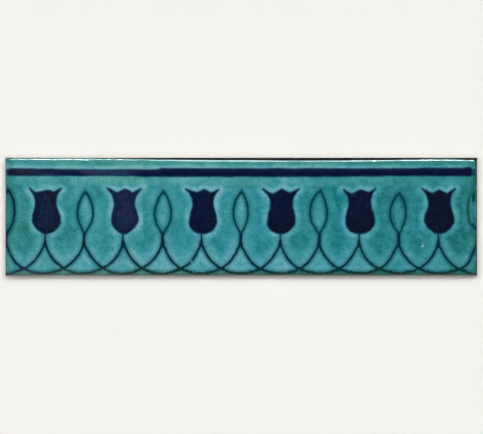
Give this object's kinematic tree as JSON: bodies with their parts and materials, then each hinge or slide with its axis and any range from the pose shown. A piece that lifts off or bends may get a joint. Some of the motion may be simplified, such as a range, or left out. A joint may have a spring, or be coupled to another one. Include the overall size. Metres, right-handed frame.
{
  "type": "victorian border tile",
  "caption": "Narrow glazed ceramic border tile with raised tulips, interlaced arcs and a stripe on a turquoise face, and keying grooves in its back for bedding.",
  "frame": {"origin": "middle of the tile's back, on the lands between the keying grooves", "axes": "+X along the border, +Y across the tile towards the edge with the stripe, +Z out of the glazed face"},
  "size_m": [0.1524, 0.0382, 0.0099],
  "materials": {
    "glazed_earthenware": "gloss"
  },
  "bodies": {
    "root": {"border_tile": "glazed_earthenware"}
  },
  "joints": []
}
